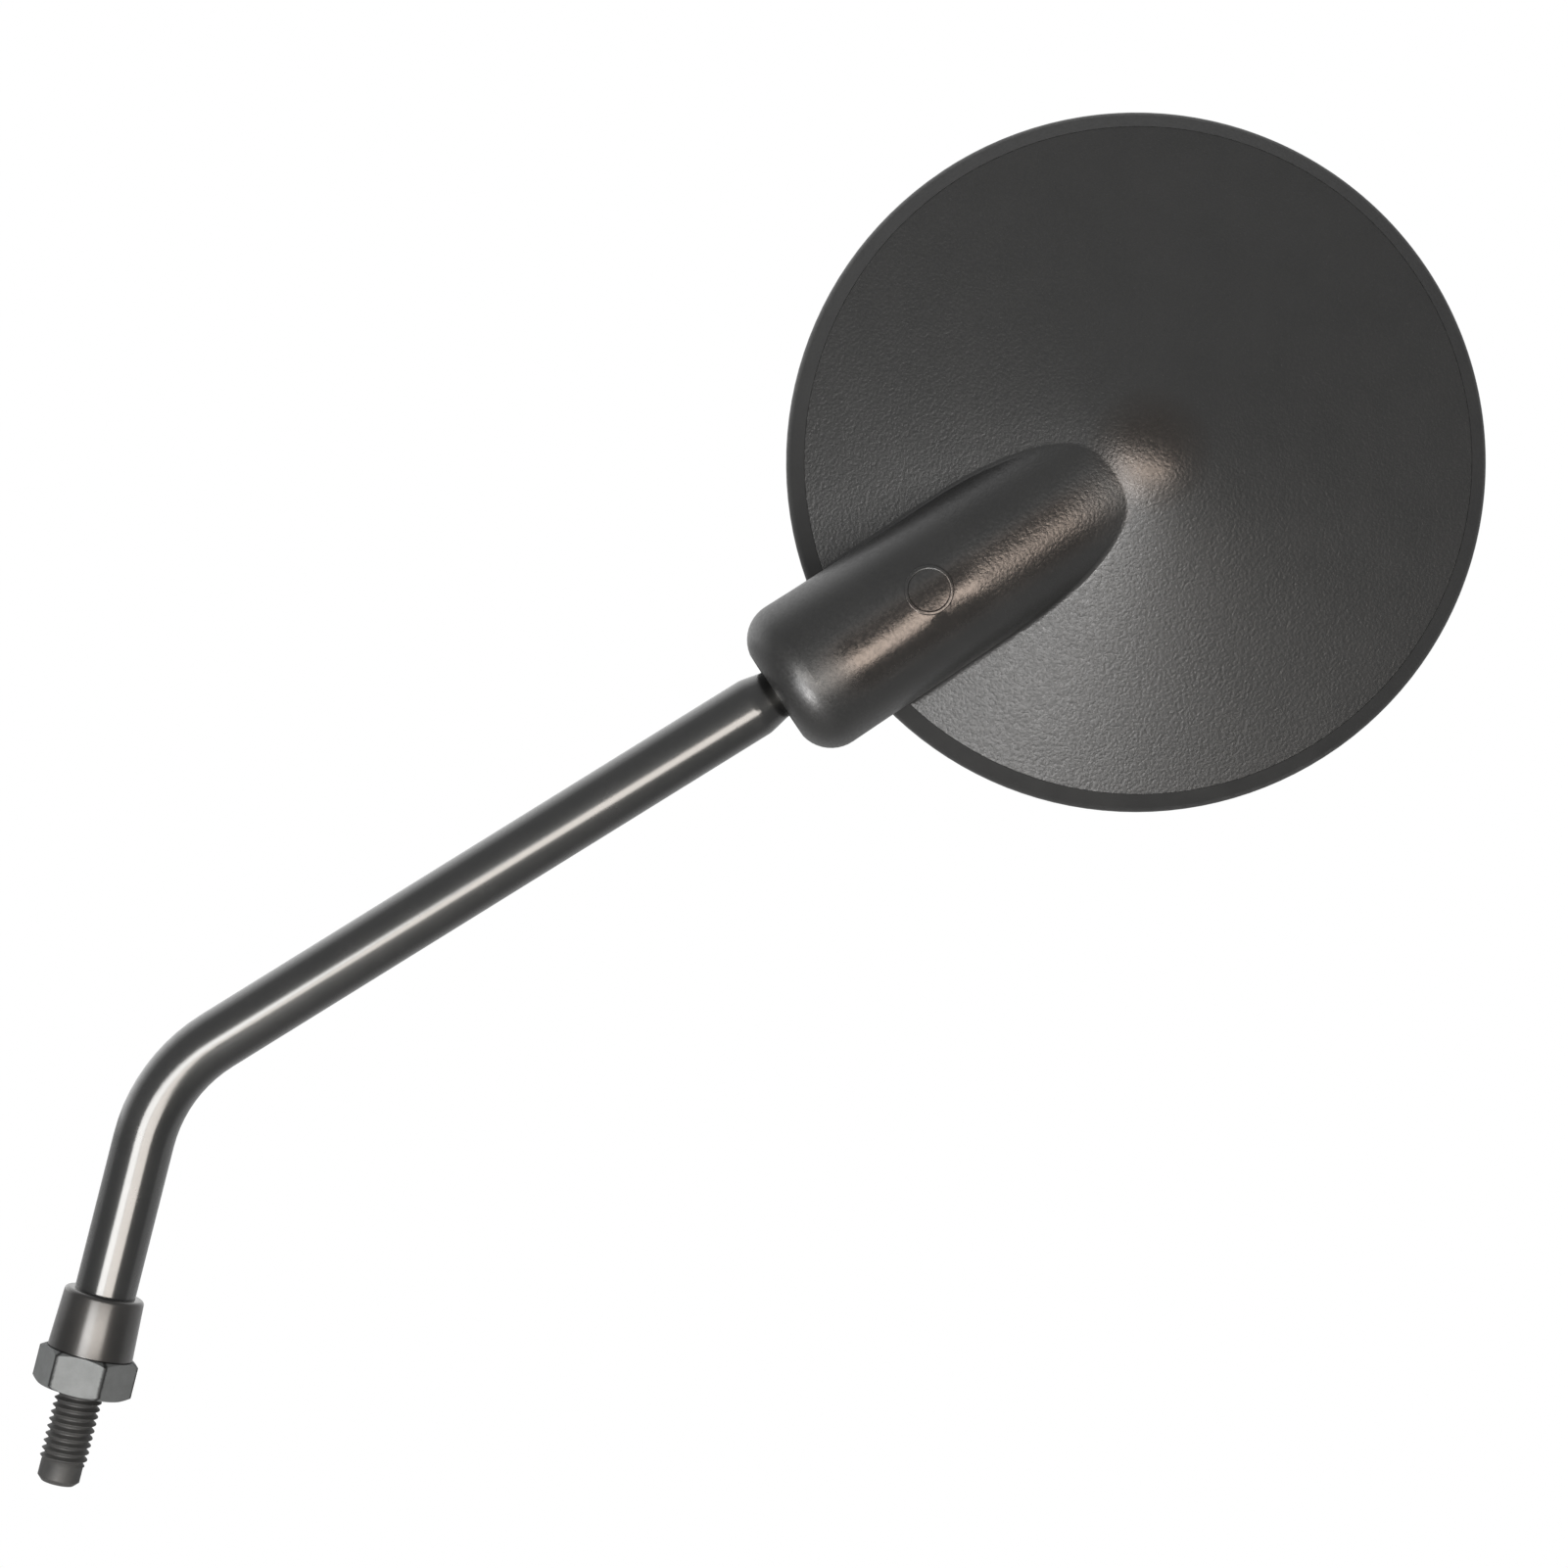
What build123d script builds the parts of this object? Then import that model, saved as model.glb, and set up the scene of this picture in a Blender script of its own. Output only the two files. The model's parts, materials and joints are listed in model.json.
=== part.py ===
from build123d import *
import math
import os

# A round motorcycle mirror on a bent stem, with a ball joint in its head. Sizes are in millimetres.
# The origin is on the axis of the stud, at the lower face of the lock nut. Z runs up the stud, the
# stem leans toward +X, the back of the head looks toward -Y and the glass toward +Y.

# Threaded end and lock nut
thread_diameter = 8.0
stud_length = 16.2  # below the lock nut
point_length = 3.4  # plain point at the free end of the stud
point_diameter = 7.2
point_end_chamfer = 0.8
shank_undercut = 0.4  # the plain stretch under the collar is this much smaller in radius than the thread
collar_length = 10.5
collar_lower_diameter = 14.6
collar_upper_diameter = 13.7
collar_edge_round = 0.7
socket_floor_thickness = 2.5
socket_clearance = 0.02
nut_across_flats = 15.0
nut_height = 6.5
nut_turn = 0.6  # degrees that the front flat is turned away from -Y, toward -X
nut_edge_round = 0.4  # along the six upright edges
nut_corner_slope = 30.0  # degrees
nut_thread_clearance = 0.05
nut_mouth_depth = 0.5

# Stem, with the ball on its upper end
stem_diameter = 10.4
bend_corner_height = 55.0
bend_angle = 44.0
bend_radius = 28.0
upper_leg_length = 134.4  # from the corner of the bend to the centre of the ball
neck_diameter = 8.75
neck_length = 11.6  # from the centre of the ball to the start of the taper
neck_taper_length = 3.8
neck_shoulder_round = 4.0  # at both ends of the taper
ball_diameter = 15.0

# Head, in its own frame: x along the boss toward its mouth, z toward the back, z = 0 at the front
head_rest_swing = 1.4  # degrees between the boss and the stem in the photographed pose
head_diameter = 121.5

# Rim ring and glass
ring_wall = 2.3  # between the outside of the ring and its groove
ring_back_lip_width = 3.1
ring_back_lip_thickness = 2.1
ring_bevel = 48.0  # degrees by which the back of the ring slopes off toward the outside
ring_back_round = 3.0  # where the bevel meets the outside
ring_front_lip_width = 3.2
ring_front_lip_thickness = 1.25
ring_front_round = 1.4
ring_clearance = 0.05
glass_thickness = 2.0
glass_curve_radius = 1300.0
glass_edge_clearance = 0.25  # between the edge of the glass and the groove of the ring
glass_lip_clearance = 0.15  # between the front edge of the glass and the lip of the ring
cushion_thickness = 1.1  # at the edge of the glass
cushion_inner_margin = 0.5  # from the inner edge of the shell's ledge
cushion_outer_margin = 0.9  # from the outer edge of the shell's flange
cushion_glue_line = 0.02

# Shell
shell_wall = 2.4
cone_height = 27.07  # from the ring to the tip that the conical back would have without its round
cone_edge_gap = 0.06  # between the edge of the cone and the ring
apex_round = 20.0
apex_flat_diameter = 0.6
flange_thickness = 1.8
ledge_width = 6.9  # from the outer edge of the flange inward

# Boss on the back of the shell
boss_mouth_diameter = 27.5
boss_end_diameter = 25.3  # over the middle of the head, to which the boss tapers
boss_overhang = 13.9  # from the outside of the ring to the mouth
boss_mouth_round = 6.6
boss_root_round = 1.0  # fillet where the boss rises from the cone
boss_ring_gap = 0.3  # room between the boss and the rim ring that it passes over
boss_floor_wall = 1.8  # between the channel for the ring and the bore for the ball
mark_position = 43.8
mark_offset = -0.5
mark_diameter = 8.4
mark_width = 0.7
mark_height = 0.3
mark_edge_round = 0.2
mark_root = 0.5  # depth to which the mark is sunk in the boss

# Ball joint inside the boss
ball_depth = 11.5  # from the mouth to the centre of the ball
ball_clearance = 0.05
seat_wall = 1.15
mouth_seat_start = 53.0  # polar angles, degrees from the direction of the mouth
mouth_seat_end = 84.0
seat_gap = 14.0
rear_seat_end = 150.0
bore_clearance = 0.1  # between the seats or the cup and the bore
throat_inner_room = 2.0  # around the neck, where the throat leaves the bore
throat_outer_room = 4.0  # around the neck, at the mouth
cup_front = 4.0  # behind the centre of the ball
cup_floor = 2.3  # behind the rear seat
cup_relief_diameter = 7.0
spring_room = 0.5  # between the disc springs and the bore
spring_hole_diameter = 8.2
spring_thickness = 0.9
spring_rise = 0.55  # cone height of one loaded disc spring

# Retainer behind the springs
bracket_thickness = 2.0
bracket_side_room = 0.6  # between the bracket and the walls of the boss
bracket_foot_drop = 7.8  # from the axis of the boss to the underside of the foot
bracket_foot_length = 15.5
screw_from_plate = 9.5  # from the back of the bracket's plate
screw_from_side = 3.7  # from the side of the bracket's foot
screw_diameter = 3.0
screw_length = 10.0
screw_head_diameter = 5.6
screw_head_height = 2.0
screw_hole_clearance = 0.2
post_diameter = 6.6
post_bore_clearance = 0.03
post_bore_spare = 3.0  # depth of a post's bore past the tip of its screw

cut_margin = 1.0  # how far a cut runs on past the surface that it opens


def rounded_edges(points, rounds):
    """Edges of a closed outline through the points, with arcs of the given radii at some corners."""
    corners = [Vector(*point) for point in points]
    entries = []
    for i, corner in enumerate(corners):
        radius = rounds.get(i, 0)
        if radius == 0:
            entries.append((corner, None, corner))
            continue
        back = (corners[i - 1] - corner).normalized()
        ahead = (corners[(i + 1) % len(corners)] - corner).normalized()
        half_angle = math.acos(max(-1.0, min(1.0, back.dot(ahead)))) / 2
        reach = radius / math.tan(half_angle)
        middle = (back + ahead).normalized() * (radius / math.sin(half_angle) - radius)
        entries.append((corner + back * reach, corner + middle, corner + ahead * reach))
    edges = []
    for i, (start, middle, end) in enumerate(entries):
        if middle is not None:
            edges.append(ThreePointArc(start, middle, end))
        following = entries[(i + 1) % len(entries)][0]
        edges.append(Line(end, following))
    return edges


def turned_about_z(points, rounds=None):
    """Solid turned about Z from an outline of (radius, height) points."""
    face = make_face(rounded_edges([(r, 0, z) for r, z in points], rounds or {}))
    return revolve(face, Axis.Z)


def turned_about_x(points, rounds=None):
    """Solid turned about X from an outline of (length, radius) points, with its seam on the -Z side."""
    face = make_face(rounded_edges([(x, 0, -r) for x, r in points], rounds or {}))
    return revolve(face, Axis.X)


def ball_band(inner_radius, outer_radius, start_angle, end_angle):
    """Part of a hollow ball between two polar angles, measured from +X."""

    def spot(radius, angle):
        turn = math.radians(angle)
        return (radius * math.cos(turn), 0, radius * math.sin(turn))

    middle_angle = (start_angle + end_angle) / 2
    outer = [spot(outer_radius, angle) for angle in (start_angle, middle_angle, end_angle)]
    inner = [spot(inner_radius, angle) for angle in (end_angle, middle_angle, start_angle)]
    edges = [
        ThreePointArc(*outer),
        Line(outer[2], inner[0]),
        ThreePointArc(*inner),
        Line(inner[2], outer[0]),
    ]
    return revolve(make_face(edges), Axis.X)


def box_between(low, high):
    """Box between two opposite corners."""
    size = [b - a for a, b in zip(low, high)]
    centre = [(a + b) / 2 for a, b in zip(low, high)]
    return Pos(*centre) * Box(*size)


# Threaded end: a collar with a socket for the stem above it and the stud below it
stem_radius = stem_diameter / 2
thread_radius = thread_diameter / 2
shank_radius = thread_radius - shank_undercut
point_radius = point_diameter / 2
thread_end = point_length - stud_length
collar_bottom = nut_height
collar_top = collar_bottom + collar_length
socket_floor = collar_bottom + socket_floor_thickness
socket_radius = stem_radius + socket_clearance
threaded_end = turned_about_z(
    [
        (0, -stud_length),
        (point_radius - point_end_chamfer, -stud_length),
        (point_radius, point_end_chamfer - stud_length),
        (point_radius, thread_end),
        (thread_radius, thread_end + thread_radius - point_radius),
        (thread_radius, 0),
        (shank_radius, shank_undercut),
        (shank_radius, collar_bottom),
        (collar_lower_diameter / 2, collar_bottom),
        (collar_upper_diameter / 2, collar_top),
        (socket_radius, collar_top),
        (socket_radius, socket_floor),
        (0, socket_floor),
    ],
    {9: collar_edge_round},
)

# Lock nut: hexagon with its corners turned off at both ends
nut_corner_radius = nut_across_flats / math.sqrt(3)
nut_flat_radius = nut_across_flats / 2
nut_slope_drop = (nut_corner_radius - nut_flat_radius) * math.tan(math.radians(nut_corner_slope))
nut_bore_radius = thread_radius + nut_thread_clearance
nut_mouth_radius = nut_bore_radius + nut_mouth_depth
hexagon = extrude(RegularPolygon(nut_corner_radius, 6), nut_height)
hexagon = fillet(hexagon.edges().filter_by(Axis.Z), nut_edge_round)
turned_blank = turned_about_z(
    [
        (nut_bore_radius, nut_mouth_depth),
        (nut_mouth_radius, 0),
        (nut_flat_radius, 0),
        (nut_corner_radius, nut_slope_drop),
        (nut_corner_radius, nut_height - nut_slope_drop),
        (nut_flat_radius, nut_height),
        (nut_mouth_radius, nut_height),
        (nut_bore_radius, nut_height - nut_mouth_depth),
    ]
)
lock_nut = (Rot(0, 0, -nut_turn) * hexagon) & turned_blank

# Stem: lower leg, bend, upper leg with its neck, and the ball
bend_tangent = bend_radius * math.tan(math.radians(bend_angle) / 2)
bend_start = bend_corner_height - bend_tangent
lean = math.radians(bend_angle)
stem_direction = Vector(math.sin(lean), 0, math.cos(lean))
ball_centre = Vector(0, 0, bend_corner_height) + stem_direction * upper_leg_length
ball_radius = ball_diameter / 2
neck_radius = neck_diameter / 2
lower_leg = Pos(0, 0, socket_floor) * extrude(Circle(stem_radius), bend_start - socket_floor)
bend_axis = Axis((bend_radius, 0, bend_start), (0, 1, 0))
bend = revolve(Pos(0, 0, bend_start) * Circle(stem_radius), bend_axis, bend_angle)
upper_leg = turned_about_z(
    [
        (0, 0),
        (neck_radius, 0),
        (neck_radius, neck_length),
        (stem_radius, neck_length + neck_taper_length),
        (stem_radius, upper_leg_length - bend_tangent),
        (0, upper_leg_length - bend_tangent),
    ],
    {2: neck_shoulder_round, 3: neck_shoulder_round},
)
ball_plane = Plane(origin=ball_centre, x_dir=(0, 1, 0), z_dir=-stem_direction)
stem = lower_leg + bend + ball_plane.location * (upper_leg + Sphere(ball_radius))

# Radii and heights of the ring, the glass, the foam and the shell's flange, from the outside in
ring_radius = head_diameter / 2
ring_groove_radius = ring_radius - ring_wall
ring_inner_radius = ring_radius - ring_back_lip_width
glass_radius = ring_groove_radius - glass_edge_clearance
flange_radius = ring_groove_radius - ring_clearance
ledge_radius = flange_radius - ledge_width
cone_edge_radius = ring_inner_radius - cone_edge_gap
glass_edge_front = ring_front_lip_thickness + glass_lip_clearance
flange_front = glass_edge_front + glass_thickness + cushion_thickness
flange_back = flange_front + flange_thickness
ring_groove_top = flange_back + ring_clearance
ring_height = ring_groove_top + ring_back_lip_thickness

# Shell: conical back with a flange for the ring and a ledge for the glass
cone_slope = cone_height / cone_edge_radius
cone_angle = math.atan(cone_slope)
wall_drop = shell_wall / math.cos(cone_angle)
apex_height = ring_height + cone_height
hollow_start = flange_front - cut_margin
ledge_roof = ring_height + cone_slope * (cone_edge_radius - ledge_radius) - wall_drop


def cone_with_round_tip(points, tip_height, tip_round):
    """Turned solid under a cone with a round tip. The points run from the cone's edge to the axis."""
    centre_height = tip_height - tip_round / math.cos(cone_angle)
    flat_angle = math.asin(apex_flat_diameter / 2 / tip_round)

    def spot(angle):
        return (tip_round * math.sin(angle), 0, centre_height + tip_round * math.cos(angle))

    start, middle, end = [spot(angle) for angle in (flat_angle, (flat_angle + cone_angle) / 2, cone_angle)]
    corners = [end] + [(r, 0, z) for r, z in points] + [(0, 0, start[2]), start]
    edges = [ThreePointArc(start, middle, end)]
    edges += [Line(a, b) for a, b in zip(corners, corners[1:])]
    return revolve(make_face(edges), Axis.Z)


shell_body = cone_with_round_tip(
    [
        (cone_edge_radius, ring_height),
        (cone_edge_radius, flange_back),
        (flange_radius, flange_back),
        (flange_radius, flange_front),
        (0, flange_front),
    ],
    apex_height,
    apex_round,
)
shell_hollow = cone_with_round_tip(
    [(ledge_radius, ledge_roof), (ledge_radius, hollow_start), (0, hollow_start)],
    apex_height - wall_drop,
    apex_round - shell_wall,
)

# Places along the boss and in it, worked out from the ball
boss_mouth_radius = boss_mouth_diameter / 2
boss_end_radius = boss_end_diameter / 2
boss_clear_radius = max(boss_mouth_radius, boss_end_radius) + cut_margin
boss_floor = ring_height + boss_ring_gap
seat_inner_radius = ball_radius + ball_clearance
seat_outer_radius = seat_inner_radius + seat_wall
bore_radius = seat_outer_radius + bore_clearance
boss_axis_height = boss_floor + boss_floor_wall + bore_radius
boss_reach = ring_radius + boss_overhang
ball_position = boss_reach - ball_depth
cup_back = seat_outer_radius + cup_floor
spring_stack = 2 * (spring_thickness + spring_rise)
boss_solid_start = ball_position - cup_back - spring_stack
boss_line = Pos(0, 0, boss_axis_height)
ball_line = Pos(ball_position, 0, boss_axis_height)


def boss_radius(position):
    """Radius of the tapered boss at a distance from the middle of the head."""
    return boss_end_radius + (boss_mouth_radius - boss_end_radius) * position / boss_reach


def boss_sides(length, inset, low):
    """Straight sides of the boss, set in by a margin, from its axis down to a given height."""
    start = boss_radius(0) - inset
    end = boss_radius(length) - inset
    outline = Polyline((0, -start), (length, -end), (length, end), (0, start), close=True)
    return Pos(0, 0, low) * extrude(make_face(outline), boss_axis_height - low)


def boss_form(length, inset, low):
    """Arch of the boss, set in by a margin, with straight sides down to a given height."""
    start = boss_radius(0) - inset
    end = boss_radius(length) - inset
    bar = boss_line * turned_about_x([(0, 0), (length, 0), (length, end), (0, start)])
    upper_half = box_between(
        (0, -boss_clear_radius, boss_axis_height),
        (length, boss_clear_radius, boss_axis_height + boss_clear_radius),
    )
    return (bar & upper_half) + boss_sides(length, inset, low)


# Boss: round nose with straight sides down to the cone, cut back where the ring passes under it
nose_start = ring_radius + boss_ring_gap
boss = boss_line * turned_about_x(
    [(0, 0), (boss_reach, 0), (boss_reach, boss_mouth_radius), (0, boss_end_radius)],
    {2: boss_mouth_round},
)
boss += boss_line * Sphere(boss_end_radius)
boss += boss_sides(nose_start, 0, boss_floor)
boss -= turned_about_z(
    [
        (cone_edge_radius, -cut_margin),
        (nose_start, -cut_margin),
        (nose_start, boss_floor),
        (cone_edge_radius, boss_floor),
    ]
)
boss_hollow = boss_form(boss_solid_start, shell_wall, hollow_start)

# Bore for the ball and its seats, with a throat that lets the neck swing
throat_inner_radius = neck_radius + throat_inner_room
throat_outer_radius = neck_radius + throat_outer_room
throat_start = math.sqrt(bore_radius**2 - throat_inner_radius**2)
bore_end = boss_solid_start - ball_position - cut_margin
bore = turned_about_x([(bore_end, 0), (0, 0), (0, bore_radius), (bore_end, bore_radius)])
throat = turned_about_x(
    [
        (0, 0),
        (ball_depth + cut_margin, 0),
        (ball_depth + cut_margin, throat_outer_radius),
        (ball_depth, throat_outer_radius),
        (throat_start, throat_inner_radius),
        (0, throat_inner_radius),
    ]
)
socket = Rot(0, 90, 0) * Sphere(bore_radius)

# Posts for the retainer screws, on the inside of the boss
screw_radius = screw_diameter / 2
bracket_back = boss_solid_start - bracket_thickness
bracket_foot_height = boss_axis_height - bracket_foot_drop
bracket_foot_top = bracket_foot_height + bracket_thickness
bracket_inset = shell_wall + bracket_side_room
screw_position = bracket_back - screw_from_plate
screw_offset = boss_radius(screw_position) - bracket_inset - screw_from_side
screw_spots = [(screw_position, side * screw_offset) for side in (-1, 1)]
post_bore_depth = screw_length - bracket_thickness + post_bore_spare
boss_core = boss_form(boss_solid_start, shell_wall / 2, bracket_foot_top)
posts = []
post_bores = []
for x, y in screw_spots:
    post = Pos(x, y, bracket_foot_top) * extrude(Circle(post_diameter / 2), boss_mouth_diameter)
    posts.append(post & boss_core)
    bore_circle = Circle(screw_radius + post_bore_clearance)
    post_bores.append(Pos(x, y, bracket_foot_top) * extrude(bore_circle, post_bore_depth))

# Plain raised circle on top of the boss
mark_radius = mark_diameter / 2
mark_tube = Circle(mark_radius) - Circle(mark_radius - mark_width)
mark = Pos(mark_position, mark_offset, boss_axis_height) * extrude(mark_tube, boss_mouth_diameter)
mark_near = mark_position - mark_diameter
mark_far = mark_position + mark_diameter
mark_skin = boss_line * turned_about_x(
    [
        (mark_near, boss_radius(mark_near) - mark_root),
        (mark_far, boss_radius(mark_far) - mark_root),
        (mark_far, boss_radius(mark_far) + mark_height),
        (mark_near, boss_radius(mark_near) + mark_height),
    ]
)
mark &= mark_skin
mark = fillet(mark.faces().sort_by(Axis.Z)[-1].edges(), mark_edge_round)

mirror_shell = shell_body + boss
boss_roots = [
    edge
    for edge in new_edges(shell_body, boss, combined=mirror_shell)
    if (edge @ 0.5).Z > ring_height + boss_root_round
]
mirror_shell = fillet(boss_roots, boss_root_round)
mirror_shell -= shell_hollow
mirror_shell -= boss_hollow
for post in posts:
    mirror_shell += post
for post_bore in post_bores:
    mirror_shell -= post_bore
mirror_shell -= ball_line * bore
mirror_shell -= ball_line * socket
mirror_shell -= ball_line * throat
mirror_shell += mark

# Rim ring: hooks over the flange at the back and over the glass at the front
ring_front_lip_radius = ring_radius - ring_front_lip_width
rim_ring = turned_about_z(
    [
        (ring_inner_radius, ring_height),
        (ring_inner_radius, ring_groove_top),
        (ring_groove_radius, ring_groove_top),
        (ring_groove_radius, ring_front_lip_thickness),
        (ring_front_lip_radius, ring_front_lip_thickness),
        (ring_front_lip_radius, 0),
        (ring_radius, 0),
        (ring_radius, ring_height - ring_back_lip_width * math.tan(math.radians(ring_bevel))),
    ],
    {6: ring_front_round, 7: ring_back_round},
)

# Convex glass, which stands furthest forward in its middle, and the foam ring behind its edge
glass_sag = glass_curve_radius - math.sqrt(glass_curve_radius**2 - glass_radius**2)
glass_front = glass_edge_front - glass_sag
glass_back_radius = glass_curve_radius - glass_thickness
glass_centre = glass_front + glass_curve_radius


def on_glass(radius, curve_radius):
    """Point at a radius on a surface that shares the centre of the glass's curve."""
    return (radius, 0, glass_centre - math.sqrt(curve_radius**2 - radius**2))


def curved_plate(inner, outer, near_curve, far_points):
    """Edges of a turned outline whose near side follows the curve of the glass."""
    middle = (inner + outer) / 2
    near = [on_glass(r, near_curve) for r in (inner, middle, outer)]
    return [ThreePointArc(*near), Line(near[2], far_points[0]), Line(far_points[-1], near[0])]


glass_far = [on_glass(r, glass_back_radius) for r in (glass_radius, glass_radius / 2, 0)]
glass_edges = curved_plate(0, glass_radius, glass_curve_radius, glass_far) + [ThreePointArc(*glass_far)]
mirror_glass = revolve(make_face(glass_edges), Axis.Z)
cushion_outer_radius = flange_radius - cushion_outer_margin
cushion_inner_radius = ledge_radius + cushion_inner_margin
cushion_far = [(cushion_outer_radius, 0, flange_front), (cushion_inner_radius, 0, flange_front)]
cushion_edges = curved_plate(
    cushion_inner_radius, cushion_outer_radius, glass_back_radius - cushion_glue_line, cushion_far
)
glass_cushion = revolve(make_face(cushion_edges + [Line(*cushion_far)]), Axis.Z)

# Seats around the ball, the cup that presses them, and its springs
mouth_seat = ball_line * ball_band(seat_inner_radius, seat_outer_radius, mouth_seat_start, mouth_seat_end)
rear_seat_start = mouth_seat_end + seat_gap
rear_seat = ball_line * ball_band(seat_inner_radius, seat_outer_radius, rear_seat_start, rear_seat_end)
cup_radius = bore_radius - bore_clearance
cup_blank = turned_about_x(
    [
        (-cup_front, cup_relief_diameter / 2),
        (-cup_front, cup_radius),
        (-cup_back, cup_radius),
        (-cup_back, cup_relief_diameter / 2),
    ]
)
pressure_cup = ball_line * (cup_blank - Rot(0, 90, 0) * Sphere(seat_outer_radius + ball_clearance))
spring_outer = bore_radius - spring_room
spring_inner = spring_hole_diameter / 2
disc_spring = turned_about_x(
    [
        (0, spring_outer),
        (spring_thickness, spring_outer),
        (spring_thickness + spring_rise, spring_inner),
        (spring_rise, spring_inner),
    ]
)
spring_middle = Pos(boss_solid_start + spring_stack / 2, 0, boss_axis_height)
disc_springs = [
    spring_middle * disc_spring,
    spring_middle * Rot(0, 0, 180) * disc_spring,
]

# Retainer bracket and its screws: a plate that fills the arch of the boss, with a foot along it
retainer_bracket = boss_form(boss_solid_start, bracket_inset, bracket_foot_height)
retainer_bracket -= box_between(
    (-cut_margin, -boss_clear_radius, bracket_foot_top),
    (bracket_back, boss_clear_radius, boss_axis_height + boss_clear_radius),
)
retainer_bracket -= box_between(
    (-cut_margin, -boss_clear_radius, bracket_foot_height - cut_margin),
    (bracket_back - bracket_foot_length, boss_clear_radius, bracket_foot_top),
)
retainer_screws = []
for x, y in screw_spots:
    hole = Circle(screw_radius + screw_hole_clearance)
    retainer_bracket -= Pos(x, y, bracket_foot_height) * extrude(hole, bracket_thickness)
    screw = turned_about_z(
        [
            (0, -screw_head_height),
            (screw_head_diameter / 2, -screw_head_height),
            (screw_head_diameter / 2, 0),
            (screw_radius, 0),
            (screw_radius, screw_length - screw_radius),
            (0, screw_length),
        ],
        {1: screw_head_height / 2},
    )
    retainer_screws.append(Pos(x, y, bracket_foot_height) * screw)

# Place the head's pieces on the ball of the stem
head_lean = math.radians(bend_angle - head_rest_swing)
boss_direction = Vector(math.sin(head_lean), 0, math.cos(head_lean))
head_centre = ball_centre + boss_direction * ball_position + Vector(0, boss_axis_height, 0)
head_place = Plane(origin=head_centre, x_dir=-boss_direction, z_dir=(0, -1, 0)).location

parts = {
    "threaded_end": [threaded_end],
    "lock_nut": [lock_nut],
    "stem": [stem],
    "mirror_shell": [head_place * mirror_shell],
    "rim_ring": [head_place * rim_ring],
    "mirror_glass": [head_place * mirror_glass],
    "glass_cushion": [head_place * glass_cushion],
    "mouth_seat": [head_place * mouth_seat],
    "rear_seat": [head_place * rear_seat],
    "pressure_cup": [head_place * pressure_cup],
    "disc_springs": [head_place * spring for spring in disc_springs],
    "retainer_bracket": [head_place * retainer_bracket],
    "retainer_screws": [head_place * screw for screw in retainer_screws],
}

os.makedirs("parts", exist_ok=True)
for name, pieces in parts.items():
    solids = [solid for piece in pieces for solid in piece.solids()]
    shape = solids[0] if len(solids) == 1 else Compound(children=solids)
    export_step(shape, f"parts/{name}.step")
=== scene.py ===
import json
import math

import bmesh
import bpy
from mathutils import Matrix, Vector


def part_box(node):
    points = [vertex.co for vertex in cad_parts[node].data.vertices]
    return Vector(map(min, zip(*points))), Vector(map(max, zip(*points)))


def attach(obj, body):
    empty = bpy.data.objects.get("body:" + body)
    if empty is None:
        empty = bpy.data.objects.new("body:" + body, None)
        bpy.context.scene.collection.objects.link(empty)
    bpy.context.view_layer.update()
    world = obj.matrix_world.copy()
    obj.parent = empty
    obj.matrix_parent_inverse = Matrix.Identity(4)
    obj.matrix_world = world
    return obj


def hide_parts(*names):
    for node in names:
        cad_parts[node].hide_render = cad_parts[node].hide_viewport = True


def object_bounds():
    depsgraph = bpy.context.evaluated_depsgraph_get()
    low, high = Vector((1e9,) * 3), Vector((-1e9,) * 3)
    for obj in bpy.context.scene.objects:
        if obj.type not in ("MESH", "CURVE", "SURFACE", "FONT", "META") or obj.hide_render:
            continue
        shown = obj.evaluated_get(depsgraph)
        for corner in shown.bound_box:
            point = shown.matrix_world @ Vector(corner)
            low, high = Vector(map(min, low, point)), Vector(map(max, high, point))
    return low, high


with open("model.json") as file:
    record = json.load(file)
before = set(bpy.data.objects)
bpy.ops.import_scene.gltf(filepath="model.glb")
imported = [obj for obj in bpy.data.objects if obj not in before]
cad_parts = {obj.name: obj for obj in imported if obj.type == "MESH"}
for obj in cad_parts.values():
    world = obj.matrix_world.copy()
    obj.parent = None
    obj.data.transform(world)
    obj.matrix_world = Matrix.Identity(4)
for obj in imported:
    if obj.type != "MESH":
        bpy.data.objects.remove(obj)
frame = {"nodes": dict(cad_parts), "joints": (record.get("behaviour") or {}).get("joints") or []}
cad_low, cad_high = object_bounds()

# Looks of a round motorcycle mirror, seen from its back on white. Lengths are in metres.
mm = 0.001

# Camera, as in the photograph
camera_place = Vector((0.09057, -0.682, 0.12903))
camera_roll = math.radians(14.2)  # the right side of the picture is turned up from +X by this angle
focal_pixels = 4100
picture_pixels = 1601
sensor_width = 36.0  # millimetres
camera_right = Vector((math.cos(camera_roll), 0, math.sin(camera_roll)))
camera_up = Vector((-math.sin(camera_roll), 0, math.cos(camera_roll)))
camera_back = Vector((0, -1, 0))

# Threaded end
pitch = 1.25 * mm
thread_radius = 4.0 * mm
root_radius = 3.35 * mm
shank_radius = 3.6 * mm
shank_start = 0.4 * mm
point_radius = 3.6 * mm
point_length = 3.4 * mm
point_end_chamfer = 0.8 * mm
run_out = 1.0 * mm  # length over which the thread fades into the plain shank and into the plain point
ring_gap = 0.1 * mm  # between the ends of the thread and the rings that they are joined to
crest_round = 0.08  # share of the thread's depth that is rounded off at its crest and at its root
collar_margin = 0.1 * mm  # below the underside of the collar, where its finish ends
collar_upper_radius = 6.85 * mm
collar_top_round = 0.7 * mm
collar_foot_round = 0.25 * mm
stem_radius = 5.2 * mm
socket_clearance = 0.02 * mm
socket_depth = 8.0 * mm
collar_length = 10.5 * mm

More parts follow.
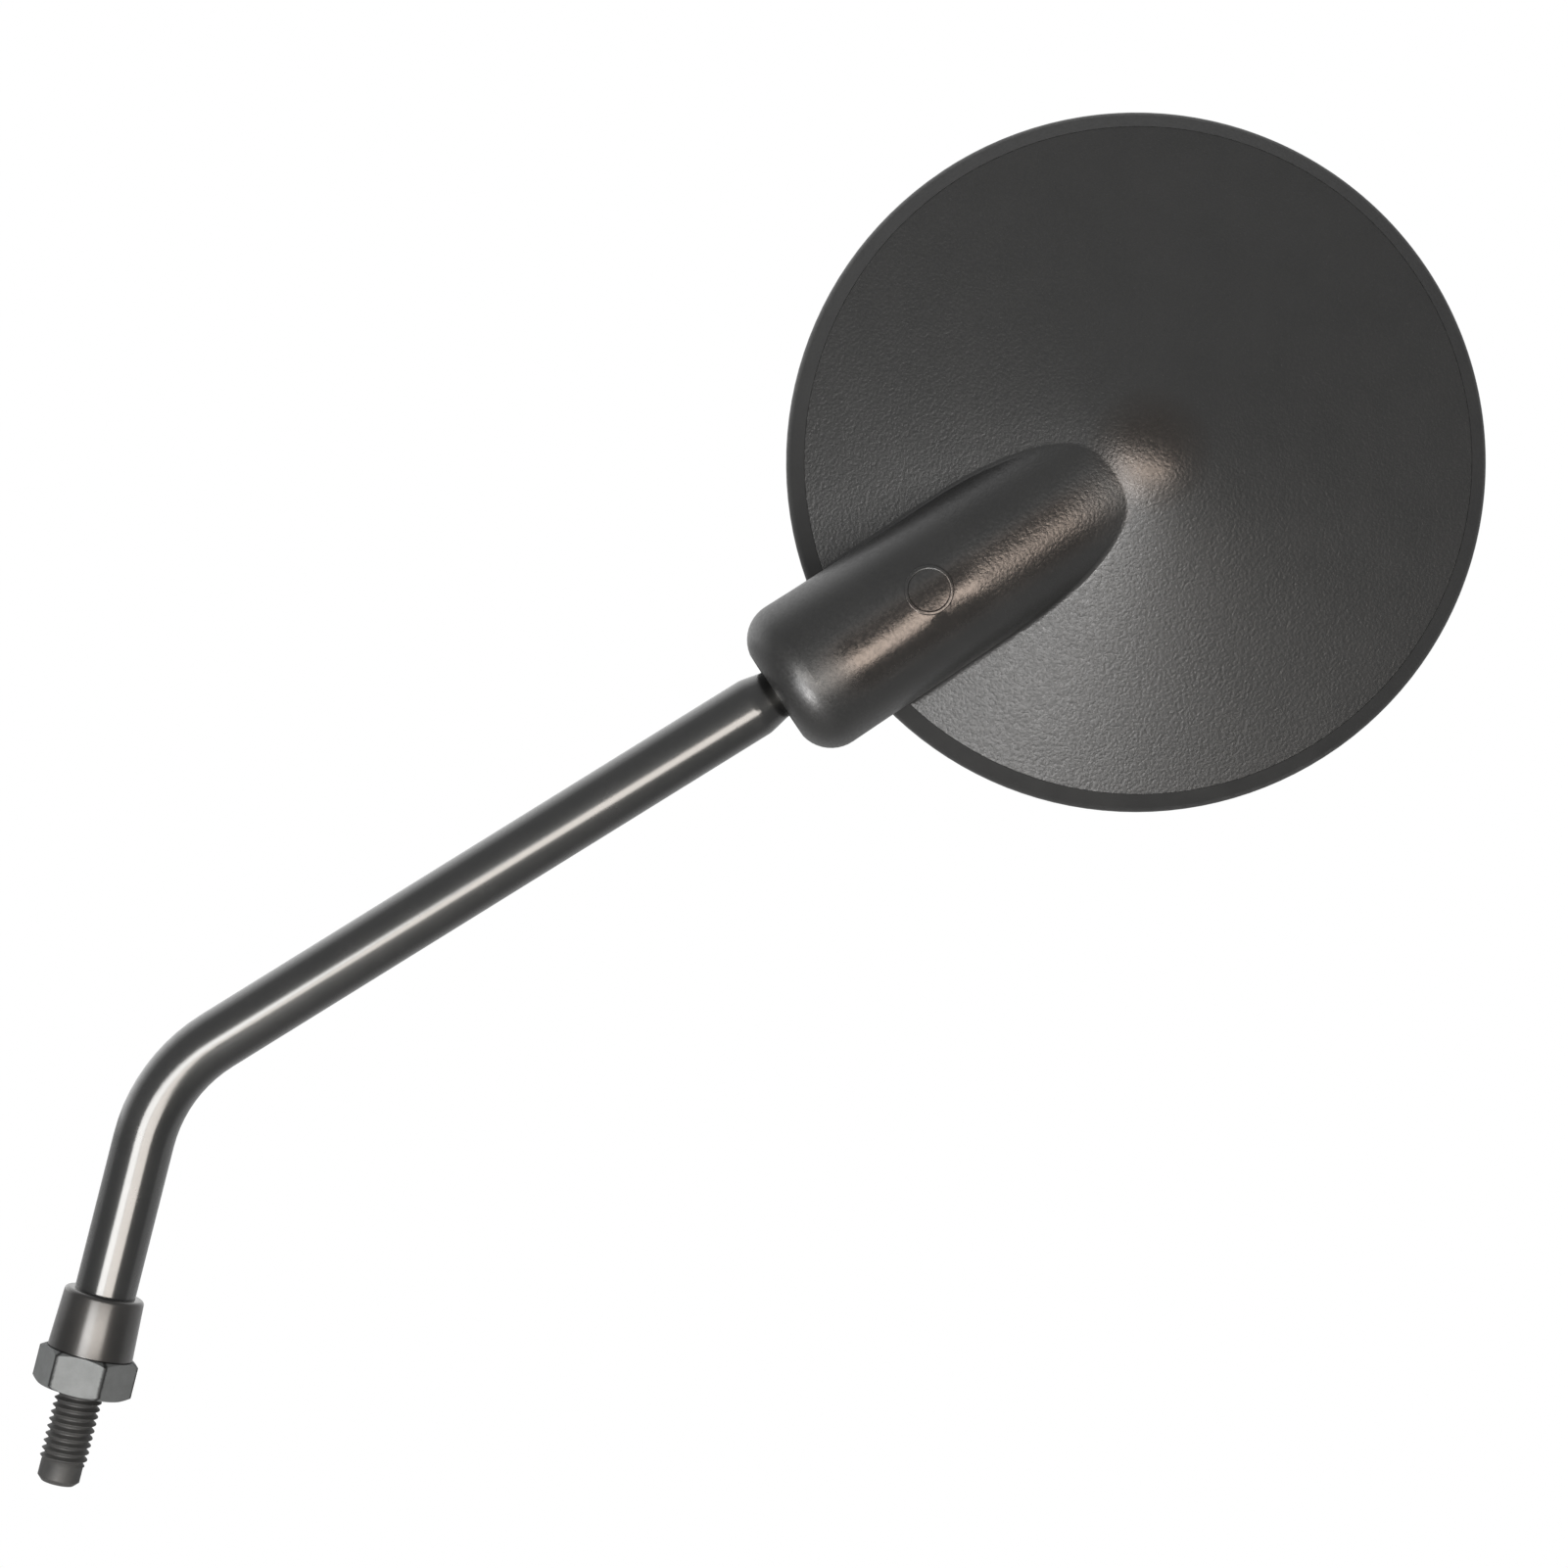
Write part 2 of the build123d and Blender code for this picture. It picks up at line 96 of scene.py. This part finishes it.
# Mirror glass
glass_curve = 1300 * mm  # radius of its convex front
glass_thickness = 2.0 * mm
glass_rings = 24  # from the middle to the edge

# Turned and threaded pieces
turn_steps = 96
sharp_angle = math.radians(35)  # edges that turn by more than this stay sharp

# Lock nut
nut_corner = math.radians(-60.6)  # angle of one upright edge about Z
nut_edge = (0.02, 0.06)  # away from an upright edge, in sixths of a turn, where the painted edge shade ends and the side turns light
nut_painted_edge_shades = (0.03, 0.035)  # painted shade at an upright edge, in the dark and in the light clouds of the finish
nut_side_shades = (0.18, 0.21)
nut_edge_shade_wander = 0.012  # how far the painted edge shade wanders, in sixths of a turn

# Boss of the shell, by the distance from the ball along its axis
boss_mouth = -11.5 * mm
boss_end = 63.15 * mm
boss_mouth_radius = 13.75 * mm
boss_end_radius = 12.65 * mm
mark_place = (19.35 * mm, -0.5 * mm)  # along the axis and across it
mark_radius = 4.2 * mm
mark_width = 0.7 * mm  # of its raised circle

# Finish of the shell. A pair of lengths says where a change of finish begins and ends.
shell_dark = (0.013, 0.0132, 0.013)
shell_light = (0.017, 0.017, 0.0168)
shell_clouds = 9 * mm
shell_grain = 0.55 * mm
shell_relief = 0.14 * mm
boss_relief = 0.6  # share of the relief that is left on the boss and the apex
worn_relief = 0.25  # share of that on the worn stretch of the boss
crest_start = (-4 * mm, 3 * mm)  # along the axis of the boss, where its crest begins to shine
worn_end = (25 * mm, 29 * mm)  # along the axis, where the worn stretch ends
boss_fade = (45 * mm, 57 * mm)  # along the axis, where the boss turns into the cone
crest_middle = 3 * mm  # across the axis
crest_sides = (3.5 * mm, 6 * mm)  # away from the middle of the crest
apex_spot = (4 * mm, 11 * mm)  # away from the apex
boss_surface = (1.02, 1.08)  # away from the axis, by the radius of the boss
mark_blend = 0.2 * mm
cone_rough = 0.48
boss_rough = 0.38
apex_rough = 0.3
worn_rough = 0.2
rough_speckle = 0.07
crest_shine = 0.72  # how far the crest beyond the worn stretch is polished
cone_tint = (1.0, 1.0, 1.0)  # of the light that the surface reflects
worn_tint = (1.0, 0.87, 0.79)

# Stage
floor_height = -0.6
floor_radius = 10.0
floor_sides = 96
paper_dark = (0.38,) * 3
paper_light = (0.85,) * 3
paper_turn = (0.1, 0.9)  # along Y, where the shade painted on the paper before the part turns to the light paper behind it
paper_grain = 0.02
paper_speckle = 0.03
middle = (cad_low + cad_high) / 2

# Light: levels of the surroundings with the directions between which they change, and the softboxes by
# name, degrees to the right of and above the way to the camera, shift along X, width and height, radiance
# and colour
front_level = 0.3
back_left_level = 1.3
back_right_level = 0.5
top_rise = 0.07
left_to_right = (-0.8, 0.8)  # by the X of the direction
front_to_back = (-0.1, 0.5)  # by its Y
low_to_top = (0.6, 0.95)  # by its Z
softboxes = [
    ("key_left", -7, -12.2, -0.22, (0.44, 0.3), 7.6, (1.0, 0.985, 0.96)),
    ("key_right", -7, -12.2, 0.3, (0.6, 0.3), 5.8, (1.0, 0.93, 0.86)),
    ("low", -18, -45, 0.0, (0.3, 0.3), 31.0, (1.0, 0.98, 0.965)),
    ("low_left", -30, -32, 0.0, (0.25, 0.25), 10.0, (0.98, 0.99, 1.0)),
]


def studio_direction(right_degrees, up_degrees):
    """Direction from the object, by angles to the right of and above the way to the camera."""
    right = math.tan(math.radians(right_degrees))
    up = math.tan(math.radians(up_degrees))
    return (camera_back + camera_right * right + camera_up * up).normalized()


def look_matrix(place, direction, up):
    """Placement of a camera or light at a point, looking along a direction."""
    back = -direction.normalized()
    right = up.cross(back).normalized()
    true_up = back.cross(right)
    turn = Matrix((right, true_up, back)).transposed()
    return Matrix.Translation(place) @ turn.to_4x4()


# Node helpers
def node(material, kind, inputs=None, **settings):
    """Adds a shader node. An input takes a plain value or another node's output."""
    made = material.node_tree.nodes.new("ShaderNode" + kind)
    for name, value in settings.items():
        setattr(made, name, value)
    for name, value in (inputs or {}).items():
        if isinstance(value, bpy.types.NodeSocket):
            material.node_tree.links.new(value, made.inputs[name])
        else:
            made.inputs[name].default_value = value
    return made


def start_material(name, **constants):
    """New material. The constants are the shader inputs that are the same all over the surface."""
    material = bpy.data.materials.new(name)
    material.use_nodes = True
    shader = material.node_tree.nodes["Principled BSDF"]
    for key, value in constants.items():
        shader.inputs[key.replace("_", " ").title().replace("Ior", "IOR")].default_value = value
    return material, shader


def feed(material, shader, **sockets):
    """Links node outputs to inputs of the shader."""
    for key, socket in sockets.items():
        material.node_tree.links.new(socket, shader.inputs[key.replace("_", " ").title()])


def object_place(material):
    """Coordinates in the part's own frame, in metres."""
    return node(material, "TexCoord").outputs["Object"]


def grains(material, size, detail=2.0):
    """Noise with grains of about the given size."""
    inputs = {"Vector": object_place(material), "Scale": 1 / size, "Detail": detail}
    texture = node(material, "TexNoise", inputs)
    return texture.outputs["Fac"]


def calculate(material, operation, first, second=0.0):
    """Result of a calculation with two values, each a number or a node's output."""
    return node(material, "Math", {0: first, 1: second}, operation=operation).outputs["Value"]


def spread(material, value, low, high, start=0.3, end=0.7):
    """Maps a range, or else the middle range of a noise, to values from low to high."""
    inputs = {"Value": value, "From Min": start, "From Max": end, "To Min": low, "To Max": high}
    return node(material, "MapRange", inputs).outputs["Result"]


def blend(material, share, none, full):
    """Value that goes from one level to another as a share goes from 0 to 1."""
    return spread(material, share, none, full, 0, 1)


def tones(material, value, dark, light, start=0.3, end=0.7):
    """Maps a range, or else the middle range of a noise, to colours from dark to light."""
    ramp = node(material, "ValToRGB", {"Fac": value})
    for element, position, colour in zip(ramp.color_ramp.elements, (start, end), (dark, light)):
        element.position = position
        element.color = (*colour, 1)
    return ramp.outputs["Color"]


def bump(material, height, distance, strength):
    """Normal that follows a height, with a strength that is a number or a node's output."""
    inputs = {"Height": height, "Distance": distance, "Strength": strength}
    return node(material, "Bump", inputs).outputs["Normal"]


# Materials
def boss_places(material):
    """Places on the shell by its boss: from the ball along the axis, across it, and away from it."""
    roll = next(joint for joint in frame["joints"] if joint["name"] == "head_roll")
    axis = Vector(roll["axis"])
    across = (axis.z, 0, -axis.x)
    arm = node(material, "VectorMath", {0: object_place(material), 1: roll["pos_m"]}, operation="SUBTRACT")
    arm = arm.outputs[0]
    length = node(material, "VectorMath", {0: arm, 1: axis}, operation="DOT_PRODUCT").outputs["Value"]
    width = node(material, "VectorMath", {0: arm, 1: across}, operation="DOT_PRODUCT").outputs["Value"]
    foot = node(material, "VectorMath", {0: axis, "Scale": length}, operation="SCALE").outputs[0]
    away = node(material, "VectorMath", {0: arm, 1: foot}, operation="DISTANCE").outputs["Value"]
    return length, width, away


def around(material, length, width, centre, full, none):
    """1 within a distance of a place on the shell, fading to 0 at a larger distance."""
    place = node(material, "CombineXYZ", {"X": length, "Y": width}).outputs["Vector"]
    distance = node(material, "VectorMath", {0: place, 1: (*centre, 0)}, operation="DISTANCE")
    return spread(material, distance.outputs["Value"], 1, 0, full, none)


def shell_plastic():
    """Fine grained black plastic. Wear has polished the crest of the boss, most near its mouth."""
    material, shader = start_material("shell_plastic", specular_ior_level=1.0)
    length, width, away = boss_places(material)
    radius = spread(material, length, boss_mouth_radius, boss_end_radius, boss_mouth, boss_end)
    on_boss = spread(material, calculate(material, "DIVIDE", away, radius), 1, 0, *boss_surface)
    boss = calculate(material, "MULTIPLY", on_boss, spread(material, length, 1, 0, *boss_fade))
    sideways = calculate(material, "SUBTRACT", width, crest_middle)
    crest = spread(material, calculate(material, "ABSOLUTE", sideways), 1, 0, *crest_sides)
    crest = calculate(material, "MULTIPLY", crest, spread(material, length, 0, 1, *crest_start))
    crest = calculate(material, "MULTIPLY", crest, boss)
    inside = mark_radius - mark_width
    in_mark = around(material, length, width, mark_place, inside - mark_blend, inside)
    near_mouth = spread(material, length, 1, 0, *worn_end)
    polish = calculate(material, "MAXIMUM", blend(material, near_mouth, crest_shine, 1), in_mark)
    polish = calculate(material, "MULTIPLY", polish, crest)
    apex = around(material, length, width, (boss_end, 0), *apex_spot)
    grain = grains(material, shell_grain, 3.0)
    speckle = spread(material, grain, -rough_speckle, rough_speckle)
    rough = blend(material, boss, cone_rough, boss_rough)
    rough = calculate(material, "MINIMUM", rough, blend(material, apex, cone_rough, apex_rough))
    rough = calculate(material, "MINIMUM", rough, blend(material, polish, cone_rough, worn_rough))
    wear_and_edge_shade = calculate(material, "MULTIPLY", on_boss, near_mouth)
    smooth = calculate(material, "MAXIMUM", boss, apex)
    warm = calculate(material, "MAXIMUM", crest, apex)
    relief = blend(material, smooth, 1.0, boss_relief)
    relief = calculate(material, "MULTIPLY", relief, blend(material, wear_and_edge_shade, 1.0, worn_relief))
    clouds = grains(material, shell_clouds, 3.0)
    feed(
        material,
        shader,
        base_color=tones(material, clouds, shell_dark, shell_light),
        roughness=calculate(material, "ADD", rough, speckle),
        normal=bump(material, grain, shell_relief, relief),
        specular_tint=tones(material, warm, cone_tint, worn_tint, 0, 1),
    )
    return material


def rim_plastic():
    """Smooth black plastic with a faint moulded unevenness."""
    material, shader = start_material("rim_plastic", specular_ior_level=0.5)
    fine = grains(material, 0.6 * mm)
    feed(
        material,
        shader,
        base_color=tones(material, grains(material, 6 * mm), (0.02, 0.02, 0.02), (0.026, 0.026, 0.0255)),
        roughness=spread(material, fine, 0.4, 0.5),
        normal=bump(material, fine, 0.03 * mm, 0.3),
    )
    return material


def black_chrome(name, dark, light, gloss_rough, gloss_ior):
    """Black plated finish on steel: a sharp gloss over a softer ground, with fine scuffs and waves."""
    material, shader = start_material(
        name, metallic=1.0, coat_weight=1.0, coat_ior=gloss_ior, coat_roughness=gloss_rough
    )
    scuffs = grains(material, 1.2 * mm, 6.0)
    waves = bump(material, grains(material, 4 * mm), 0.05 * mm, 0.12)
    feed(
        material,
        shader,
        base_color=tones(material, grains(material, 7 * mm, 4.0), dark, light),
        roughness=spread(material, scuffs, 0.4, 0.5),
        normal=waves,
        coat_normal=waves,
    )
    return material


def plated_steel(name, dark, light, low_rough, high_rough, grain, metallic=1.0):
    """Bare or plated steel with a fine uneven finish."""
    material, shader = start_material(name, metallic=metallic)
    fine = grains(material, grain, 4.0)
    feed(
        material,
        shader,
        base_color=tones(material, grains(material, 6 * grain, 3.0), dark, light),
        roughness=spread(material, fine, low_rough, high_rough),
        normal=bump(material, fine, 0.02 * mm, 0.4),
    )
    return material


def nut_zinc():
    """Dull zinc plate, with shade painted along the upright edges of the nut."""
    material, shader = start_material("nut_zinc", metallic=0.5)
    place = node(material, "SeparateXYZ", {"Vector": object_place(material)}).outputs
    angle = calculate(material, "ARCTAN2", place["Y"], place["X"])
    corners = calculate(material, "DIVIDE", calculate(material, "SUBTRACT", angle, nut_corner), math.pi / 3)
    from_corner = calculate(material, "PINGPONG", corners, 0.5)
    fine = grains(material, 0.35 * mm, 4.0)
    # The dark along each upright edge is painted shade, set by the distance from the edge with a fine
    # wander.
    wear_and_edge_shade = calculate(material, "ADD", from_corner, spread(material, fine, -nut_edge_shade_wander, nut_edge_shade_wander))
    dark = spread(material, wear_and_edge_shade, nut_painted_edge_shades[0], nut_side_shades[0], *nut_edge)
    light = spread(material, wear_and_edge_shade, nut_painted_edge_shades[1], nut_side_shades[1], *nut_edge)
    clouds = spread(material, grains(material, 2.1 * mm, 3.0), 0, 1)
    shade = blend(material, clouds, dark, light)
    red = calculate(material, "MULTIPLY", shade, 0.96)
    colour = node(material, "CombineColor", {"Red": red, "Green": shade, "Blue": shade})
    feed(
        material,
        shader,
        base_color=colour.outputs["Color"],
        roughness=spread(material, fine, 0.55, 0.65),
        normal=bump(material, fine, 0.02 * mm, 0.4),
    )
    return material


def silvered_glass():
    """Mirror with a trace of haze."""
    material, shader = start_material("silvered_glass", metallic=1.0)
    haze = grains(material, 30 * mm, 3.0)
    feed(
        material,
        shader,
        base_color=tones(material, haze, (0.80, 0.83, 0.85), (0.85, 0.87, 0.88)),
        roughness=spread(material, haze, 0.01, 0.035),
    )
    return material


def plain_plastic(name, dark, light, low_rough, high_rough, grain):
    """Moulded plastic or foam with grains of the given size."""
    material, shader = start_material(name, specular_ior_level=0.5)
    fine = grains(material, grain, 3.0)
    feed(
        material,
        shader,
        base_color=tones(material, fine, dark, light),
        roughness=spread(material, fine, low_rough, high_rough),
        normal=bump(material, fine, 0.1 * grain, 0.4),
    )
    return material


stem_finish = black_chrome("stem_black", (0.035, 0.036, 0.035), (0.045, 0.045, 0.044), 0.17, 2.0)
collar_finish = black_chrome("collar_black", (0.04, 0.038, 0.036), (0.06, 0.056, 0.052), 0.24, 1.8)
stud_steel = plated_steel("stud_steel", (0.06, 0.06, 0.06), (0.085, 0.084, 0.081), 0.5, 0.6, 0.6 * mm, 0.4)
zinc = plated_steel("zinc_steel", (0.17, 0.18, 0.18), (0.2, 0.21, 0.21), 0.48, 0.6, 0.35 * mm)
acetal = plain_plastic("seat_plastic", (0.02, 0.02, 0.02), (0.035, 0.035, 0.035), 0.35, 0.45, 0.8 * mm)
node_materials = {
    "lock_nut": nut_zinc(),
    "stem": stem_finish,
    "mirror_shell": shell_plastic(),
    "rim_ring": rim_plastic(),
    "glass_cushion": plain_plastic("foam", (0.03, 0.03, 0.03), (0.07, 0.07, 0.07), 0.8, 0.95, 0.5 * mm),
    "mouth_seat": acetal,
    "rear_seat": acetal,
    "pressure_cup": plain_plastic(
        "cup_plastic", (0.03, 0.03, 0.03), (0.05, 0.05, 0.05), 0.35, 0.5, 0.6 * mm
    ),
    "disc_springs": plated_steel(
        "spring_steel", (0.16, 0.16, 0.17), (0.24, 0.24, 0.25), 0.35, 0.5, 0.4 * mm
    ),
    "retainer_bracket": zinc,
    "retainer_screws": zinc,
}
for name, material in node_materials.items():
    slots = frame["nodes"][name].data.materials
    slots.clear()
    slots.append(material)


# Pieces made here
def make_object(mesh, name, *materials):
    """Object of the scene from a finished mesh, with its materials."""
    data = bpy.data.meshes.new(name)
    mesh.to_mesh(data)
    mesh.free()
    for material in materials:
        data.materials.append(material)
    made = bpy.data.objects.new(name, data)
    bpy.context.scene.collection.objects.link(made)
    return made


def add_turned(mesh, outline, closed_start=False):
    """Surface turned about Z from an outline of radius and height, with its last ring closed."""
    rings = []
    for radius, height in outline:
        angles = [2 * math.pi * step / turn_steps for step in range(turn_steps)]
        ring = [mesh.verts.new((radius * math.cos(a), radius * math.sin(a), height)) for a in angles]
        rings.append(ring)
    for lower, upper in zip(rings, rings[1:]):
        for step in range(turn_steps):
            following = (step + 1) % turn_steps
            mesh.faces.new((lower[step], lower[following], upper[following], upper[step]))
    mesh.faces.new(rings[-1])
    if closed_start:
        mesh.faces.new(rings[0])


# Mirror glass with even faces, so that its reflection is whole at the middle
def make_glass():
    """Glass with a convex front toward +Y and a back that runs along it."""
    low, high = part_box("mirror_glass")
    edge_radius = (high.x - low.x) / 2
    radii = [edge_radius * ring / glass_rings for ring in range(1, glass_rings + 1)]
    front = [(radius, math.sqrt(glass_curve**2 - radius**2) - glass_curve) for radius in radii]
    back = [(radius, height - glass_thickness) for radius, height in front]
    mesh = bmesh.new()
    add_turned(mesh, back + front[::-1], closed_start=True)
    front_middle = Vector(((low.x + high.x) / 2, high.y, (low.z + high.z) / 2))
    mesh.transform(Matrix.Translation(front_middle) @ Matrix.Rotation(-math.pi / 2, 4, "X"))
    bmesh.ops.recalc_face_normals(mesh, faces=mesh.faces[:])
    for face in mesh.faces:
        face.smooth = True
    piece = make_object(mesh, "convex_glass", silvered_glass())
    piece.data.set_sharp_from_angle(angle=sharp_angle)
    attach(piece, "head")
    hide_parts("mirror_glass")


make_glass()


# Threaded end with its helical thread
def thread_profile():
    """Points of one pitch of the thread: share of the pitch and radius."""
    rounding = crest_round * (thread_radius - root_radius)
    return [
        (0.0, thread_radius - rounding),
        (0.04, thread_radius),
        (0.09, thread_radius),
        (0.13, thread_radius - rounding),
        (0.44, root_radius + rounding),
        (0.5, root_radius),
        (0.63, root_radius),
        (0.69, root_radius + rounding),
    ]


def thread_limits(radius, height, low):
    """Radius of the thread after its slopes and run-outs toward the plain point and the plain shank."""
    above = height - low
    below = shank_start - height
    near_point = min(1.0, max(0.0, 1 - above / run_out))
    near_shank = min(1.0, max(0.0, 1 - below / run_out))
    rise = max(near_point * (point_radius - root_radius), near_shank * (shank_radius - root_radius))
    point_slope = point_radius + max(0.0, above)
    shank_slope = shank_radius + max(0.0, below)
    return min(max(radius, root_radius + rise), point_slope, shank_slope)


def add_thread(mesh, low):
    """Helical surface from the plain point up to the plain shank, open at both ends."""
    profile = thread_profile()
    count = len(profile)
    turns = math.ceil((shank_start - low) / pitch) + 2
    columns = []
    for step in range(turn_steps):
        share = step / turn_steps
        angle = 2 * math.pi * share
        column = []
        for index in range(turns * count + 1):
            turn, point = divmod(index, count)
            height = low + pitch * (turn + profile[point][0] + share - 1)
            radius = thread_limits(profile[point][1], height, low)
            column.append(mesh.verts.new((radius * math.cos(angle), radius * math.sin(angle), height)))
        columns.append(column)
    for step in range(turn_steps):
        left = columns[step]
        right = columns[step + 1] if step + 1 < turn_steps else columns[0][count:]
        for index in range(len(right) - 1):
            mesh.faces.new((left[index], right[index], right[index + 1], left[index + 1]))
    for height, way in ((low, -1), (shank_start, 1)):
        everything = mesh.verts[:] + mesh.edges[:] + mesh.faces[:]
        bmesh.ops.bisect_plane(
            mesh, geom=everything, plane_co=(0, 0, height), plane_no=(0, 0, way), clear_outer=True
        )


def arc(centre, radius, start_degrees, end_degrees, steps=5):
    """Points of an arc in a turned outline."""
    turns = [start_degrees + (end_degrees - start_degrees) * i / steps for i in range(steps + 1)]
    return [
        (centre[0] + radius * math.cos(math.radians(t)), centre[1] + radius * math.sin(math.radians(t)))
        for t in turns
    ]


def join_rings(mesh, height):
    """Joins the end of the thread at a height to the open ring beside it."""
    edges = [
        edge for edge in mesh.edges if edge.is_boundary and abs(edge.verts[0].co.z - height) < 2 * ring_gap
    ]
    bmesh.ops.bridge_loops(mesh, edges=edges)


def make_threaded_end():
    """Collar, plain shank, thread and plain point, in one piece."""
    low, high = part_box("threaded_end")
    thread_end = low.z + point_length
    collar_top = high.z
    collar_bottom = collar_top - collar_length
    collar_lower_radius = high.x
    socket_radius = stem_radius + socket_clearance
    outline = [(shank_radius, shank_start + ring_gap), (shank_radius, collar_bottom)]
    foot = (collar_lower_radius - collar_foot_round, collar_bottom + collar_foot_round)
    outline += arc(foot, collar_foot_round, -90, 0)
    shoulder = (collar_upper_radius - collar_top_round, collar_top - collar_top_round)
    outline += arc(shoulder, collar_top_round, 0, 90)
    outline.append((socket_radius, collar_top))
    outline.append((socket_radius, collar_top - socket_depth))
    point = [
        (point_radius, thread_end - ring_gap),
        (point_radius, low.z + point_end_chamfer),
        (point_radius - point_end_chamfer, low.z),
    ]
    mesh = bmesh.new()
    add_thread(mesh, thread_end)
    add_turned(mesh, outline)
    add_turned(mesh, point)
    join_rings(mesh, shank_start)
    join_rings(mesh, thread_end)
    bmesh.ops.recalc_face_normals(mesh, faces=mesh.faces[:])
    for face in mesh.faces:
        face.material_index = 0 if face.calc_center_median().z > collar_bottom - collar_margin else 1
        face.smooth = True
    piece = make_object(mesh, "collar_and_stud", collar_finish, stud_steel)
    piece.data.set_sharp_from_angle(angle=sharp_angle)
    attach(piece, "stem")
    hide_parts("threaded_end")


make_threaded_end()


# Floor
def white_paper():
    """Pale paper with shade painted on it before the part, lighter behind it, and pure white to the camera.
    """
    material = bpy.data.materials.new("white_paper")
    material.use_nodes = True
    tree = material.node_tree
    shader = tree.nodes["Principled BSDF"]
    shader.inputs["Roughness"].default_value = 0.9
    # Painted shade: the paper is darker before the part than behind it.
    depth = node(material, "SeparateXYZ", {"Vector": object_place(material)}).outputs["Y"]
    shade = spread(material, depth, 0.0, 1.0, *paper_turn)
    speckle = spread(material, grains(material, paper_grain), -paper_speckle, paper_speckle)
    shade = calculate(material, "ADD", shade, speckle)
    feed(material, shader, base_color=tones(material, shade, paper_dark, paper_light, 0, 1))
    seen = node(material, "LightPath").outputs["Is Camera Ray"]
    white = node(material, "Emission", {"Color": (1, 1, 1, 1), "Strength": 1.0}).outputs["Emission"]
    mixed = node(material, "MixShader", {0: seen, 1: shader.outputs["BSDF"], 2: white})
    tree.links.new(mixed.outputs["Shader"], tree.nodes["Material Output"].inputs["Surface"])
    return material


def make_floor():
    """Round pale floor far below the part."""
    mesh = bmesh.new()
    bmesh.ops.create_circle(mesh, cap_ends=True, segments=floor_sides, radius=floor_radius)
    floor = make_object(mesh, "floor", white_paper())
    floor.location = (0, 0, floor_height)


make_floor()


# Light
def make_world():
    """Surroundings: white to the camera, dim on its side, and brighter behind the part and above it."""
    world = bpy.data.worlds.new("studio")
    bpy.context.scene.world = world
    world.use_nodes = True
    tree = world.node_tree
    background = tree.nodes["Background"]
    way = node(world, "TexCoord").outputs["Generated"]
    parts = node(world, "SeparateXYZ", {"Vector": way})
    back_level = spread(world, parts.outputs["X"], back_left_level, back_right_level, *left_to_right)
    level = spread(world, parts.outputs["Y"], front_level, back_level, *front_to_back)
    level = calculate(world, "ADD", level, spread(world, parts.outputs["Z"], 0, top_rise, *low_to_top))
    seen = node(world, "LightPath").outputs["Is Camera Ray"]
    background.inputs["Color"].default_value = (1, 1, 1, 1)
    tree.links.new(blend(world, seen, level, 1.0), background.inputs["Strength"])


def studio_place(right_degrees, up_degrees, shift):
    """Place a metre from the part's middle, in a direction on the camera's side and shifted along X."""
    return middle + studio_direction(right_degrees, up_degrees) + Vector((shift, 0, 0))


def make_softbox(name, place, size, radiance, colour):
    """Rectangular light at a place, with two level edges, turned toward the part's middle."""
    data = bpy.data.lights.new(name, "AREA")
    data.shape = "RECTANGLE"
    data.size, data.size_y = size
    data.energy = radiance * math.pi * size[0] * size[1]
    data.color = colour
    lamp = bpy.data.objects.new(name, data)
    bpy.context.scene.collection.objects.link(lamp)
    lamp.matrix_world = look_matrix(place, middle - place, Vector((0, 0, 1)))
    lamp.visible_camera = False


make_world()
for name, right, up, shift, size, radiance, colour in softboxes:
    make_softbox(name, studio_place(right, up, shift), size, radiance, colour)


# Camera
def make_camera():
    """Camera at the photograph's place, looking level along +Y and rolled."""
    data = bpy.data.cameras.new("camera")
    data.sensor_width = sensor_width
    data.lens = sensor_width * focal_pixels / picture_pixels
    camera = bpy.data.objects.new("camera", data)
    bpy.context.scene.collection.objects.link(camera)
    camera.matrix_world = look_matrix(camera_place, -camera_back, camera_up)
    bpy.context.scene.camera = camera


make_camera()
bpy.context.scene.view_settings.view_transform = "Standard"
